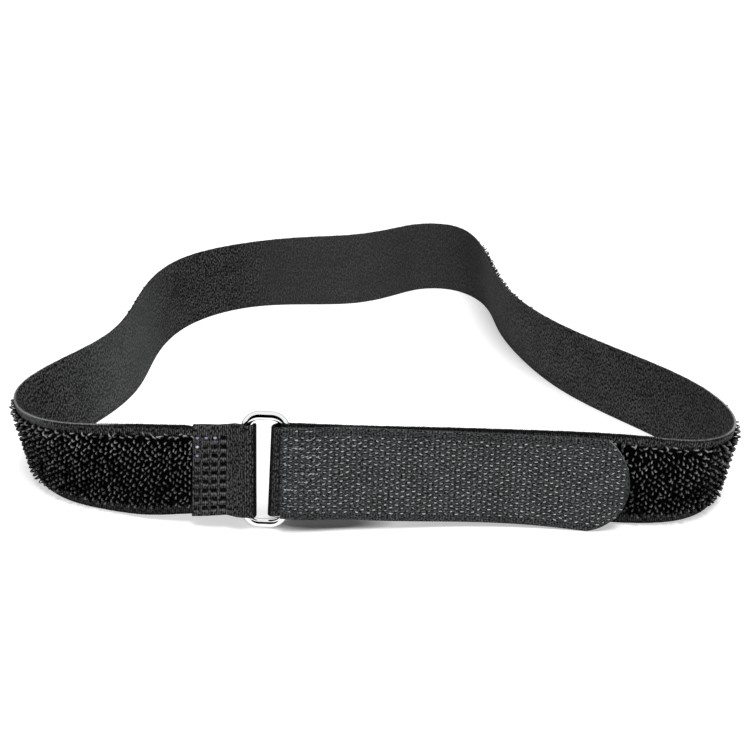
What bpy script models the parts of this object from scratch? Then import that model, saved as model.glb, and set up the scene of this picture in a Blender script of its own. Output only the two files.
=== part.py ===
"""A hook and loop cinch strap, fastened on itself and standing on its lower edge.

One length of loop tape (a woven web with a pile of small loops on its outside) is folded round the left
bar of a wire ring and welded to itself. Its other end passes behind the ring's right bar, folds round it
to the front, and carries a hook tape tab whose hooks face the pile. The ring swivels on the welded fold,
and the tab swings open about the ring's right bar.

The frame: +X to the right and +Y away from someone who faces the ring, +Z up. Lengths are in metres.
The model is drawn about the ring's centre line, and the last step moves it all so that the middle of its
base is the origin.
"""

import math

import bmesh
import bpy
import numpy as np

# Tape
TAPE_WIDTH = 0.0250
WEB_THICKNESS = 0.0009
PILE_HEIGHT = 0.0016
PILE_DIMPLE = 0.0005
PRESSED_PILE_HEIGHT = 0.0014
MARGIN = 0.0024
STATION_STEP = 0.0026

# Hook tape tab
TAB_WIDTH = 0.0264
TAB_THICKNESS = 0.0007
TAB_REACH = 0.0866
TAB_LAP = 0.0011
TAB_SETTLE = 0.018
TAB_RISE_AT_RING = 0.0012
TAB_RISE_AT_TIP = -0.0002
TAB_SAG = 0.0005
TIP_LIFT = 0.0010
TIP_DEPTH_UPPER = 0.0062
TIP_DEPTH_LOWER = 0.0102
WELDED_LAP = 0.0071
HOOK_HEIGHT = 0.0008
HOOK_STEM = 0.00045
HOOK_PITCH_ALONG = 0.0026
HOOK_PITCH_ACROSS = 0.0025

# Wire ring
RING_HEIGHT = 0.0336
RING_WIDTH = 0.0120
RING_LIFT = 0.0004
RING_X = -0.0003
WIRE_DIAMETER = 0.0022
RING_CORNER_RADIUS = 0.0046

# Folds round the two bars, and the weld that closes the left one
# (the ring and both folds lean to the right, by LEAN of their height)
LEAN = 0.047
LEAN_FADE = 0.040
ROOM_UNDER_TAPE = 0.0019
LEFT_FOLD_ROOM = 0.0004
RIGHT_FOLD_ROOM = 0.0008
RIGHT_FOLD_SLACK = 0.00215
RIGHT_FOLD_SLANT = 0.0008
FLAP_LENGTH = 0.0138
WELD_LENGTH = 0.0088
DENT_COLUMNS = 4
DENT_ROWS = 9
DENT_LENGTH = 0.00125
DENT_WIDTH = 0.0010
DENT_DEPTH = 0.00035
DENT_PITCH_ALONG = 0.0022
DENT_PITCH_ACROSS = 0.0024

# Gap kept between two pieces that touch
GAP = 0.0003

# The tape's way from the left bar, round the back, to the right bar, as seen from above:
# (x, y) of the web's middle from the ring's centre, how far its upper edge stands further out than its
# lower edge, and how high its lower edge is off the ground.
ROUTE = (
    (-0.0300, 0.0055, -0.0036, 0.0016),
    (-0.0430, 0.0085, -0.0012, 0.0005),
    (-0.0540, 0.0117, 0.0017, 0.0003),
    (-0.0634, 0.0186, 0.0037, 0.0003),
    (-0.0677, 0.0293, 0.0028, 0.0),
    (-0.0646, 0.0412, 0.0012, 0.0),
    (-0.0580, 0.0522, 0.0004, 0.0),
    (-0.0518, 0.0635, 0.0002, 0.0),
    (-0.0482, 0.0760, 0.0010, 0.0),
    (-0.0460, 0.1012, 0.0012, 0.0),
    (-0.0379, 0.1252, 0.0004, 0.0),
    (-0.0175, 0.1402, -0.0008, 0.0),
    (0.0070, 0.1448, 0.0034, 0.0),
    (0.0208, 0.1470, 0.0046, 0.0),
    (0.0331, 0.1526, 0.0030, 0.0),
    (0.0440, 0.1583, 0.0020, 0.0),
    (0.0553, 0.1570, 0.0004, 0.0),
    (0.0632, 0.1475, -0.0026, 0.0),
    (0.0679, 0.1217, -0.0042, 0.0),
    (0.0733, 0.0970, -0.0054, 0.0),
    (0.0838, 0.0747, -0.0047, 0.0),
    (0.0994, 0.0550, -0.0040, 0.0),
    (0.1150, 0.0342, -0.0028, 0.0),
    (0.1187, 0.0218, 0.0000, 0.0),
    (0.1167, 0.0094, 0.0037, 0.0002),
    (0.1078, 0.0021, 0.0027, 0.0007),
    (0.0952, 0.0021, -0.0010, 0.0005),
    (0.0700, 0.0033, -0.0002, 0.0017),
    (0.0440, 0.0033, -0.0002, 0.0026),
)

# Places that follow from the sizes above
WIRE_RADIUS = WIRE_DIAMETER / 2
BAR_X = RING_WIDTH / 2 - WIRE_RADIUS
LEFT_FOLD_RADIUS = WIRE_RADIUS + LEFT_FOLD_ROOM + WEB_THICKNESS / 2
RIGHT_FOLD_DEPTH = WIRE_RADIUS + RIGHT_FOLD_ROOM + WEB_THICKNESS / 2
RIGHT_FOLD_REACH = WIRE_RADIUS + RIGHT_FOLD_SLACK + WEB_THICKNESS / 2
TAPE_LIFT = RING_LIFT + WIRE_DIAMETER + ROOM_UNDER_TAPE
LEAN_ANGLE = math.atan(LEAN)


def srgb(red, green, blue):
    """A colour given in the 0 to 255 steps of a photograph, as Blender's linear values."""
    values = [channel / 255 for channel in (red, green, blue)]
    return [v / 12.92 if v <= 0.04045 else ((v + 0.055) / 1.055) ** 2.4 for v in values]


def make_material(name, colour, roughness, metallic=0.0):
    material = bpy.data.materials.new(name)
    material.use_nodes = True
    shader = material.node_tree.nodes["Principled BSDF"]
    shader.inputs["Base Color"].default_value = (*colour, 1.0)
    shader.inputs["Roughness"].default_value = roughness
    shader.inputs["Metallic"].default_value = metallic
    return material


def smooth_step(value):
    """0 below 0, 1 above 1, and level at both ends."""
    t = np.clip(value, 0.0, 1.0)
    return t * t * (3.0 - 2.0 * t)


def natural_spline(knots, values, at):
    """A natural cubic spline through values at the increasing knots, read at the places in at."""
    steps = np.diff(knots)[:, None]
    slopes = np.diff(values, axis=0) / steps
    count = len(knots)
    matrix = np.eye(count)
    right = np.zeros_like(values)
    for i in range(1, count - 1):
        matrix[i, i - 1 : i + 2] = steps[i - 1, 0], 2 * (steps[i - 1, 0] + steps[i, 0]), steps[i, 0]
        right[i] = 6 * (slopes[i] - slopes[i - 1])
    bends = np.linalg.solve(matrix, right)
    span = np.clip(np.searchsorted(knots, at) - 1, 0, count - 2)
    width = steps[span]
    after = (np.asarray(at) - knots[span])[:, None]
    before = width - after
    return (
        bends[span] * before**3 / (6 * width)
        + bends[span + 1] * after**3 / (6 * width)
        + (values[span] / width - bends[span] * width / 6) * before
        + (values[span + 1] / width - bends[span + 1] * width / 6) * after
    )


class Tape:
    """The loop tape's web as a ruled strip, read by distance along it, height up it and offset outwards.

    Distance 0 is behind the left bar, and self.length is behind the right bar.
    """

    def __init__(self):
        straight = FLAP_LENGTH + 0.0006
        left_y, right_y = LEFT_FOLD_RADIUS, RIGHT_FOLD_DEPTH
        lead_in = [
            (-BAR_X, left_y, 0.0, TAPE_LIFT),
            (-BAR_X - 0.4 * straight, left_y + 0.0001, -0.0038, 1.07 * TAPE_LIFT),
            (-BAR_X - straight, left_y + 0.0010, -0.0025, 0.74 * TAPE_LIFT),
        ]
        lead_out = [(BAR_X + TAB_SETTLE, right_y, -0.0009, 0.78 * TAPE_LIFT), (BAR_X, right_y, 0.0, TAPE_LIFT)]
        points = np.array(lead_in + list(ROUTE) + lead_out)
        chords = np.linalg.norm(np.diff(points[:, :2], axis=0), axis=1)
        knots = np.concatenate([[0.0], np.cumsum(chords)])
        self.samples = natural_spline(knots, points, np.linspace(0.0, knots[-1], 4000))
        steps = np.linalg.norm(np.diff(self.samples[:, :2], axis=0), axis=1)
        self.distances = np.concatenate([[0.0], np.cumsum(steps)])
        self.length = self.distances[-1]
        self.tangents = np.gradient(self.samples[:, :2], self.distances, axis=0)

    def read(self, table, distance):
        return np.array([np.interp(distance, self.distances, column) for column in table.T])

    def outward(self, distance):
        """The horizontal direction that points out of the loop."""
        tangent = self.read(self.tangents, distance)
        tangent = tangent / np.linalg.norm(tangent)
        return np.array([-tangent[1], tangent[0]])

    def point(self, distance, up, out, rise=0.0):
        """The place at a distance along the tape, up from its lower edge, and out from its middle plane."""
        x, y, tilt, lift = self.read(self.samples, distance)
        share = up / TAPE_WIDTH - 0.5
        across = self.outward(distance) * (out + tilt * share)
        height = up * math.sqrt(1.0 - (tilt / TAPE_WIDTH) ** 2)
        x += lean_with_ring(min(distance, self.length - distance), up)
        return np.array([x + across[0], y + across[1], max(lift, 0.0) + rise + height])


def lean_with_ring(distance, up):
    """How far to the right a place moves to lean with the ring, fading out beyond the weld."""
    fade = 1.0 - smooth_step((distance - FLAP_LENGTH) / LEAN_FADE)
    return LEAN * (up - TAPE_WIDTH / 2) * fade


def stations(start, end, step):
    """Evenly spaced distances from start to end, about step apart."""
    return np.linspace(start, end, max(2, round(abs(end - start) / step) + 1))


def mesh_object(name, material, origin=(0.0, 0.0, 0.0)):
    """An empty mesh object with its origin where it turns or stands."""
    body = bpy.data.objects.new(name, bpy.data.meshes.new(name))
    body.data.materials.append(material)
    body.location = origin
    bpy.context.scene.collection.objects.link(body)
    return body


def finish_mesh(body, form, smooth_angle=35.0):
    """Write a bmesh drawn in the ring's frame into an object whose origin may lie elsewhere."""
    bmesh.ops.translate(form, verts=form.verts, vec=-body.location)
    bmesh.ops.recalc_face_normals(form, faces=form.faces)
    form.to_mesh(body.data)
    form.free()
    body.data.shade_smooth()
    body.data.set_sharp_from_angle(angle=math.radians(smooth_angle))
    return body


def loft(sections):
    """A closed body through sections of equally many points, with flat ends. Returns its bmesh and grid."""
    form = bmesh.new()
    grid = [[form.verts.new(point) for point in section] for section in sections]
    count = len(grid[0])
    for here, there in zip(grid, grid[1:]):
        for i in range(count):
            form.faces.new((here[i], here[(i + 1) % count], there[(i + 1) % count], there[i]))
    form.faces.new(grid[0])
    form.faces.new(reversed(grid[-1]))
    form.normal_update()
    return form, grid


def make_loop_web(tape, material):
    """The woven ground of the loop tape, from behind the left bar round to behind the right bar."""
    half = WEB_THICKNESS / 2
    corners = ((0.0, -half), (TAPE_WIDTH, -half), (TAPE_WIDTH, half), (0.0, half))
    run = stations(GAP, tape.length - GAP, STATION_STEP)
    form, _ = loft([[tape.point(s, up, out) for up, out in corners] for s in run])
    return finish_mesh(mesh_object("loop_tape_web", material), form)


def pile_top(tape, distance):
    """How high the pile stands off the web: full height, or pressed down where the tab covers it."""
    covered = smooth_step((distance - (tape.length - TAB_REACH - 0.003)) / 0.002)
    return PILE_HEIGHT + (PRESSED_PILE_HEIGHT - PILE_HEIGHT) * covered


def make_loop_pile(tape, material):
    """The layer of loops on the tape's outside, knobbly on top, between the bare margins."""
    low, high = MARGIN, TAPE_WIDTH - MARGIN
    rows = np.linspace(low, high, 8)
    base = WEB_THICKNESS / 2 + GAP
    sections = []
    run = stations(FLAP_LENGTH + GAP, tape.length - TAB_SETTLE * 0.4, STATION_STEP)
    for index, s in enumerate(run):
        top = WEB_THICKNESS / 2 + pile_top(tape, s)
        dimple = PILE_DIMPLE * (top - WEB_THICKNESS / 2) / PILE_HEIGHT
        section = [(low, base)]
        for row, up in enumerate(rows):
            edge = row in (0, len(rows) - 1)
            sunk = edge or (row + index) % 2 == 0
            section.append((up, top - dimple if sunk else top))
        section.append((high, base))
        sections.append([tape.point(s, up, out) for up, out in section])
    form, _ = loft(sections)
    return finish_mesh(mesh_object("loop_pile", material), form, smooth_angle=80.0)


def flap_offset(distance):
    """How far the flap's middle plane lies outside the tape's: two radii at the bar, pressed flat at the weld."""
    share = min(distance / (FLAP_LENGTH - WELD_LENGTH), 1.0)
    pressed = WEB_THICKNESS + GAP
    return pressed + (2 * LEFT_FOLD_RADIUS - pressed) * (1.0 - share**1.5)


def dent_edges(first, count, pitch, size):
    """The two edges of each dent in a row of them."""
    starts = first + pitch * np.arange(count)
    return np.sort(np.concatenate([starts, starts + size]))


def make_anchor_fold(tape, material):
    """The tape's left end: round the left bar, back over the tape, and welded down in a field of dents."""
    half = WEB_THICKNESS / 2
    columns = dent_edges(FLAP_LENGTH - WELD_LENGTH, DENT_COLUMNS, DENT_PITCH_ALONG, DENT_LENGTH)
    field = (DENT_ROWS - 1) * DENT_PITCH_ACROSS + DENT_WIDTH
    rows = dent_edges((TAPE_WIDTH - field) / 2, DENT_ROWS, DENT_PITCH_ACROSS, DENT_WIDTH)
    heights = np.concatenate([[0.0], rows, [TAPE_WIDTH]])
    sections = []
    for turn in np.linspace(0.0, math.pi, 11):
        corners = [(LEFT_FOLD_RADIUS + half, up) for up in heights]
        corners = [(LEFT_FOLD_RADIUS - half, 0.0), *corners, (LEFT_FOLD_RADIUS - half, TAPE_WIDTH)]
        section = []
        for radius, up in corners:
            x = -BAR_X + radius * math.sin(turn) + lean_with_ring(0.0, up)
            section.append((x, radius * math.cos(turn), TAPE_LIFT + up))
        sections.append(section)
    plain = np.linspace(0.0, FLAP_LENGTH - WELD_LENGTH, 6)[1:-1]
    for s in np.concatenate([plain, columns, [FLAP_LENGTH]]):
        out = flap_offset(s)
        front = [tape.point(s, up, out + half) for up in heights]
        sections.append([tape.point(s, 0.0, out - half), *front, tape.point(s, TAPE_WIDTH, out - half)])
    form, grid = loft(sections)
    first_column = len(sections) - 1 - len(columns)
    dents = []
    for column in range(DENT_COLUMNS):
        here, there = grid[first_column + 2 * column], grid[first_column + 2 * column + 1]
        for row in range(DENT_ROWS):
            low = 2 + 2 * row
            corners = {here[low], here[low + 1], there[low], there[low + 1]}
            dents += [face for face in here[low].link_faces if set(face.verts) == corners]
    bmesh.ops.recalc_face_normals(form, faces=form.faces)
    bmesh.ops.inset_individual(form, faces=dents, thickness=DENT_WIDTH / 8, depth=-DENT_DEPTH)
    return finish_mesh(mesh_object("anchor_fold", material), form)


def make_ring(material):
    """A rectangle of round wire with rounded corners, leaning, its origin on the axis of the left bar."""
    centre_radius = RING_CORNER_RADIUS - WIRE_RADIUS
    half_height = RING_HEIGHT / 2 - WIRE_RADIUS
    path = []
    for quarter, (side, end) in enumerate(((1, 1), (-1, 1), (-1, -1), (1, -1))):
        corner_x = side * (BAR_X - centre_radius)
        corner_z = end * (half_height - centre_radius)
        for step in range(7):
            turn = math.radians(90 * quarter + 15 * step)
            path.append((corner_x + centre_radius * math.cos(turn), corner_z + centre_radius * math.sin(turn)))
    curve = bpy.data.curves.new("ring_wire", "CURVE")
    curve.dimensions = "3D"
    curve.bevel_depth = WIRE_RADIUS
    curve.bevel_resolution = 4
    wire = curve.splines.new("POLY")
    wire.points.add(len(path) - 1)
    cosine, sine = math.cos(LEAN_ANGLE), math.sin(LEAN_ANGLE)
    for point, (x, z) in zip(wire.points, path):
        point.co = (x * cosine + z * sine + BAR_X, 0.0, z * cosine - x * sine + RING_LIFT + RING_HEIGHT / 2, 1.0)
    wire.use_cyclic_u = True
    wire.use_smooth = True
    curve.materials.append(material)
    ring = bpy.data.objects.new("rectangular_ring", curve)
    ring.location = (RING_X - BAR_X, 0.0, 0.0)
    bpy.context.scene.collection.objects.link(ring)
    return ring


def make_tab_fold(material):
    """The tape's right end round the right bar, from behind it to its front, with a little slack."""
    half = WEB_THICKNESS / 2
    sections = []
    for turn in np.linspace(0.0, math.pi, 15):
        rise = TAPE_LIFT + TAB_RISE_AT_RING * turn / math.pi
        section = []
        for depth, up in ((-half, 0.0), (-half, TAPE_WIDTH), (half, TAPE_WIDTH), (half, 0.0)):
            reach = RIGHT_FOLD_REACH + depth - RIGHT_FOLD_SLANT * (up / TAPE_WIDTH - 0.5)
            x = BAR_X - reach * math.sin(turn) + lean_with_ring(0.0, up)
            section.append((x, (RIGHT_FOLD_DEPTH + depth) * math.cos(turn), rise + up))
        sections.append(section)
    form, _ = loft(sections)
    return finish_mesh(mesh_object("tab_fold", material), form)


def tab_offset(reach):
    """How far the tape end's middle plane lies outside the tape's, at a reach along the tab from the bar."""
    at_bar = 2 * RIGHT_FOLD_DEPTH
    settled = WEB_THICKNESS / 2 + PRESSED_PILE_HEIGHT + GAP + HOOK_HEIGHT - (WEB_THICKNESS / 2 + GAP)
    lifted = TIP_LIFT * max(2 * reach / TAB_REACH - 1.0, 0.0) ** 2
    return at_bar + (settled - at_bar) * smooth_step(reach / TAB_SETTLE) + lifted


def tab_rise(reach):
    """How much higher than the loop tape's the tab's lower edge is, from the ring to the tip."""
    share = reach / TAB_REACH
    sag = TAB_SAG * 4 * share * (1.0 - share)
    return TAB_RISE_AT_RING + (TAB_RISE_AT_TIP - TAB_RISE_AT_RING) * share - sag


def tab_point(tape, reach, up, out):
    """A place on the tab: reach from the bar, height up it, and offset out from the tape end's plane."""
    distance = min(tape.length - reach, tape.length)
    place = tape.point(distance, up, tab_offset(reach) + out, tab_rise(reach))
    return place + np.array([min(reach, 0.0), 0.0, 0.0])


def make_tape_end(tape, material):
    """The last of the loop tape, behind the start of the hook tape that is welded to it."""
    half = WEB_THICKNESS / 2
    corners = ((0.0, -half), (TAPE_WIDTH, -half), (TAPE_WIDTH, half), (0.0, half))
    run = stations(GAP / 2, WELDED_LAP, 0.0012)
    form, _ = loft([[tab_point(tape, reach, up, out) for up, out in corners] for reach in run])
    return finish_mesh(mesh_object("tape_end", material, (BAR_X + RING_X, 0.0, 0.0)), form)


def tip_radius(depth):
    """The radius of the arc that goes from the tab's edge to the middle of its tip, depth further on."""
    return ((TAB_WIDTH / 2) ** 2 + depth**2) / (2 * depth)


def tab_half_width(reach, depth):
    """From the middle of the hook tape to its edge, which the tip brings in over its last depth."""
    if reach <= TAB_REACH - depth:
        return TAB_WIDTH / 2
    radius = tip_radius(depth)
    return math.sqrt(max(radius**2 - (reach - TAB_REACH + radius) ** 2, 0.0))


def bend_hook(form, face, along):
    """Grow one hook out of a small face of the web: a stem, then two short bends towards along."""
    normal = face.normal.copy()
    moves = (
        (normal * HOOK_STEM, 1.0),
        (normal * (HOOK_HEIGHT - HOOK_STEM) * 0.8 + along * 0.00025, 0.85),
        (normal * (HOOK_HEIGHT - HOOK_STEM) * 0.1 + along * 0.0004, 0.7),
    )
    for move, size in moves:
        grown = bmesh.ops.extrude_discrete_faces(form, faces=[face])
        face = grown["faces"][0]
        centre = face.calc_center_median()
        for corner in face.verts:
            corner.co = centre + (corner.co - centre) * size + move


def make_hook_tape(tape, material):
    """The tab: a woven web with a rounded tip, and rows of small hooks on the side that faces the pile."""
    inner = WEB_THICKNESS / 2 + GAP
    outer = inner + TAB_THICKNESS
    deeper = max(TIP_DEPTH_LOWER, TIP_DEPTH_UPPER)
    straight = stations(-TAB_LAP, TAB_REACH - deeper, HOOK_PITCH_ALONG)
    tip = TAB_REACH - deeper * (1.0 - np.sin(np.linspace(0.0, math.radians(86), 11))[1:])
    inset = MARGIN / (TAB_WIDTH / 2)
    lanes = np.linspace(-1 + inset, 1 - inset, round((TAB_WIDTH - 2 * MARGIN) / HOOK_PITCH_ACROSS) + 1)
    shares = np.concatenate([[-1.0], lanes, [1.0]])
    sections = []
    for reach in np.concatenate([straight, tip]):
        lower, upper = tab_half_width(reach, TIP_DEPTH_LOWER), tab_half_width(reach, TIP_DEPTH_UPPER)
        ups = TAPE_WIDTH / 2 + np.where(shares < 0.0, lower, upper) * shares
        near = [tab_point(tape, reach, up, inner) for up in ups]
        far = [tab_point(tape, reach, up, outer) for up in (ups[-1], ups[0])]
        sections.append([*near, *far])
    form, grid = loft(sections)
    bmesh.ops.recalc_face_normals(form, faces=form.faces)
    cells = []
    first = int(np.searchsorted(straight, WELDED_LAP + 0.0012))
    for column in range(first, len(straight) - 1):
        for lane in range(1, len(lanes)):
            if (column + lane) % 2:
                corners = {grid[c][n] for c in (column, column + 1) for n in (lane, lane + 1)}
                found = [f for f in grid[column][lane].link_faces if set(f.verts) == corners]
                cells += [(face, 1 if lane % 4 < 2 else -1) for face in found]
    faces = [face for face, _ in cells]
    bmesh.ops.inset_individual(form, faces=faces, thickness=HOOK_PITCH_ACROSS * 0.38, depth=0.0)
    for face, side in cells:
        edge = face.verts[1].co - face.verts[0].co
        along = edge.normalized() if abs(edge.z) < abs(edge.x) else (face.verts[2].co - face.verts[1].co).normalized()
        bend_hook(form, face, along * side)
    return finish_mesh(mesh_object("hook_tape_tab", material, (BAR_X + RING_X, 0.0, 0.0)), form)


def centre_on_base(pieces):
    """Move the whole model so that the middle of its base is the origin."""
    bpy.context.view_layer.update()
    corners = np.array([body.matrix_world @ v.co for body in pieces if body.type == "MESH" for v in body.data.vertices])
    low, high = corners.min(axis=0), corners.max(axis=0)
    for body in pieces:
        body.location.x -= (low[0] + high[0]) / 2
        body.location.y -= (low[1] + high[1]) / 2


def main():
    for old in list(bpy.data.objects):
        bpy.data.objects.remove(old, do_unlink=True)
    web_black = make_material("woven_black", srgb(42, 42, 44), 0.85)
    pile_black = make_material("pile_black", srgb(24, 24, 26), 0.95)
    weld_black = make_material("weld_black", srgb(52, 52, 55), 0.75)
    chrome = make_material("bright_chrome", srgb(205, 207, 210), 0.12, metallic=1.0)
    fold_black = make_material("fold_black", srgb(50, 50, 52), 0.8)
    end_black = make_material("end_black", srgb(40, 40, 42), 0.85)
    hook_grey = make_material("hook_tape_grey", srgb(68, 68, 71), 0.8)
    tape = Tape()
    centre_on_base(
        [
            make_loop_web(tape, web_black),
            make_loop_pile(tape, pile_black),
            make_anchor_fold(tape, weld_black),
            make_ring(chrome),
            make_tab_fold(fold_black),
            make_tape_end(tape, end_black),
            make_hook_tape(tape, hook_grey),
        ]
    )


main()
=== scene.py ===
"""The looks of a black hook and loop cinch strap, closed through a chrome wire ring and stood on its edge.

Every surface is a function of two parameters on a grid, or a thread carried along a path, worked out as
whole arrays. The tape is read by three numbers: the distance along it from behind the ring's left bar, the
height up it from its lower edge, and the offset out from its middle plane. Lengths are in metres.
"""

import math

import bpy
import numpy as np
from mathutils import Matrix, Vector


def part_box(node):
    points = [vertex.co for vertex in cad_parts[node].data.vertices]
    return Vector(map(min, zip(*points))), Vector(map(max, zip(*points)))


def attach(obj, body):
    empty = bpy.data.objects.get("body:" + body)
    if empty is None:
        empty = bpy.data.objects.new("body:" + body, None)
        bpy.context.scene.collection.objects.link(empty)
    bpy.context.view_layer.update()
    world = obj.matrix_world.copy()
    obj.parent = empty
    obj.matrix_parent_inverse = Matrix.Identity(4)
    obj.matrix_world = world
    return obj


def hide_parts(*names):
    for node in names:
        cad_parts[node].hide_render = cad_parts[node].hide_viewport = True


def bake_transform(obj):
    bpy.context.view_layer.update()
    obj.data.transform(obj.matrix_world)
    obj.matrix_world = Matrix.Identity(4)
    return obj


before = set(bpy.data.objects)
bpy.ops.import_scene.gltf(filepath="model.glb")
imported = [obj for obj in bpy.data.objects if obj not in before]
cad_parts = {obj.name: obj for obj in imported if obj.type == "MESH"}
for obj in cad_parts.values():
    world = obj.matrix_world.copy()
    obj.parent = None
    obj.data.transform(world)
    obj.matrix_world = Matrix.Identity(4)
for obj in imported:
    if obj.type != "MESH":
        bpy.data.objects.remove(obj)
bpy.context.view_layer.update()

MM = 0.001

# The tape and its folds, as in the part's source
TAPE_WIDTH = 25.0 * MM
WEB_THICKNESS = 0.9 * MM
MARGIN = 2.4 * MM
LEAN = 0.047
LEAN_FADE = 40.0 * MM
ROOM_UNDER_TAPE = 1.9 * MM
LEFT_FOLD_ROOM = 0.4 * MM
RIGHT_FOLD_ROOM = 0.8 * MM
RIGHT_FOLD_SLACK = 2.15 * MM
RIGHT_FOLD_SLANT = 0.8 * MM
FLAP_LENGTH = 13.8 * MM
WELD_LENGTH = 8.8 * MM
GAP = 0.3 * MM

# The hook tape tab, as in the part's source
TAB_WIDTH = 26.4 * MM
TAB_THICKNESS = 0.7 * MM
TAB_REACH = 86.6 * MM
TAB_LAP = 1.1 * MM
TAB_SETTLE = 18.0 * MM
TAB_RISE_AT_RING = 1.2 * MM
TAB_RISE_AT_TIP = -0.2 * MM
TAB_SAG = 0.5 * MM
TIP_LIFT = 1.0 * MM
TIP_DEPTH_UPPER = 6.2 * MM
TIP_DEPTH_LOWER = 10.2 * MM
WELDED_LAP = 7.1 * MM
HOOK_HEIGHT = 0.8 * MM
PRESSED_PILE_HEIGHT = 1.4 * MM

# The wire ring, as in the part's source
RING_HEIGHT = 33.6 * MM
RING_WIDTH = 12.0 * MM
RING_LIFT = 0.4 * MM
RING_X = -0.3 * MM
WIRE_RADIUS = 1.1 * MM
RING_CORNER = 4.6 * MM - WIRE_RADIUS

# The welding horn's dents
DENT_COLUMNS, DENT_ROWS = 4, 9
DENT_LENGTH, DENT_WIDTH, DENT_DEPTH = 1.32 * MM, 0.95 * MM, 0.35 * MM
DENT_PITCH_ALONG, DENT_PITCH_ACROSS = 2.2 * MM, 2.4 * MM

# The pile's loops: a lattice of columns across the tape, every other one half a pitch higher
LOOP_COLUMN_PITCH = 1.13 * MM
LOOP_ROW_PITCH = 1.69 * MM
LOOP_ROWS = 12
LOOP_HEIGHT = 1.75 * MM
LOOP_WIDTH = 0.78 * MM
LOOP_THREAD = 0.42 * MM

# The tape's knit and the hook tape's weave
RIB_PITCH = 0.53 * MM
KNIT_RELIEF = 0.06 * MM
MARGIN_RIB_HEIGHT = 0.09 * MM
FLAT_RIB_HEIGHT = 0.03 * MM
TAB_RIB_PITCH = 0.70 * MM
STITCH_PITCH_ALONG = 2.78 * MM
STITCH_PITCH_ACROSS = 1.65 * MM
HOOK_PITCH_ALONG = 1.39 * MM
HOOK_PITCH_ACROSS = 1.65 * MM

# Stretches of the tape painted paler: painted sheen on the bends and their top edges, and a paler inner face
# on the left. Given are where each starts and ends, and how far it takes to do so. On the left they are
# distances from the left bar, and on the right from the right bar, counted back as negative.
LEFT_BEND = (0.045, 0.105, 0.015, 0.02)
LEFT_LINE = (0.030, 0.105, 0.008, 0.02)
LEFT_INSIDE = (0.085, 0.175, 0.03, 0.04)
RIGHT_LINE = (-0.138, -0.0895, 0.012, 0.005)
RIGHT_BEND = (-0.150, -0.108, 0.02, 0.01)

# The tape's way round from the left bar to the right bar: (x, y) of the web's middle from the ring's
# centre, how far its upper edge stands further out than its lower edge, and its lower edge's height, in mm.
ROUTE = (
    (-30.0, 5.5, -3.6, 1.6),
    (-43.0, 8.5, -1.2, 0.5),
    (-54.0, 11.7, 1.7, 0.3),
    (-63.4, 18.6, 3.7, 0.3),
    (-67.7, 29.3, 2.8, 0.0),
    (-64.6, 41.2, 1.2, 0.0),
    (-58.0, 52.2, 0.4, 0.0),
    (-51.8, 63.5, 0.2, 0.0),
    (-48.2, 76.0, 1.0, 0.0),
    (-46.0, 101.2, 1.2, 0.0),
    (-37.9, 125.2, 0.4, 0.0),
    (-17.5, 140.2, -0.8, 0.0),
    (7.0, 144.8, 3.4, 0.0),
    (20.8, 147.0, 4.6, 0.0),
    (33.1, 152.6, 3.0, 0.0),
    (44.0, 158.3, 2.0, 0.0),
    (55.3, 157.0, 0.4, 0.0),
    (63.2, 147.5, -2.6, 0.0),
    (67.9, 121.7, -4.2, 0.0),
    (73.3, 97.0, -5.4, 0.0),
    (83.8, 74.7, -4.7, 0.0),
    (99.4, 55.0, -4.0, 0.0),
    (115.0, 34.2, -2.8, 0.0),
    (118.7, 21.8, 0.0, 0.0),
    (116.7, 9.4, 3.7, 0.2),
    (107.8, 2.1, 2.7, 0.7),
    (95.2, 2.1, -1.0, 0.5),
    (70.0, 3.3, -0.2, 1.7),
    (44.0, 3.3, -0.2, 2.6),
)

# The camera: its place from the middle of the strap's footprint, its fall below level and its lens
CAMERA_PLACE = (0.00181, -0.33574, 0.175)
CAMERA_FALL = 27.0
CAMERA_LENS = 57.6

# The light: a soft box aimed at the origin, the sky on the strap, and the floor's painted shadow spot
LAMP_PLACE = (0.12, -0.55, 1.5)
LAMP_SIZE = 0.6
LAMP_POWER = 19.0
SKY_LIGHT = 0.25
SHADOW_PLACE = (-0.012, -0.0765)
SHADOW_REACH = (0.017, 0.0038)

# Places that follow from the sizes above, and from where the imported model's ring is
RING_CENTRE = np.mean([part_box("rectangular_ring")[k] for k in (0, 1)], axis=0)
DRAWN_FROM = RING_CENTRE - (RING_X, 0.0, RING_CENTRE[2])
BAR_X = RING_WIDTH / 2 - WIRE_RADIUS
LEFT_FOLD_RADIUS = WIRE_RADIUS + LEFT_FOLD_ROOM + WEB_THICKNESS / 2
RIGHT_FOLD_DEPTH = WIRE_RADIUS + RIGHT_FOLD_ROOM + WEB_THICKNESS / 2
RIGHT_FOLD_REACH = WIRE_RADIUS + RIGHT_FOLD_SLACK + WEB_THICKNESS / 2
TAPE_LIFT = RING_LIFT + 2 * WIRE_RADIUS + ROOM_UNDER_TAPE
TAB_INNER_FACE = WEB_THICKNESS / 2 + GAP


# ---- curves and fields


def smooth_step(value):
    """0 below 0, 1 above 1, and level at both ends: 3t^2 - 2t^3."""
    t = np.clip(value, 0.0, 1.0)
    return t * t * (3.0 - 2.0 * t)


def window(place, first, last, ease_in, ease_out):
    """1 between first and last and 0 outside them, with a smooth step inside each end."""
    return smooth_step((place - first) / ease_in) * smooth_step((last - place) / ease_out)


def unit(vectors):
    """The vectors, each divided by its own length."""
    return vectors / np.linalg.norm(vectors, axis=-1, keepdims=True)


def ripple(place, pitch):
    """A wave from 0 to 1 and back once in each pitch: (1 + cos(2 pi place / pitch)) / 2."""
    return 0.5 + 0.5 * np.cos(2.0 * math.pi * np.asarray(place) / pitch)


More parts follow.
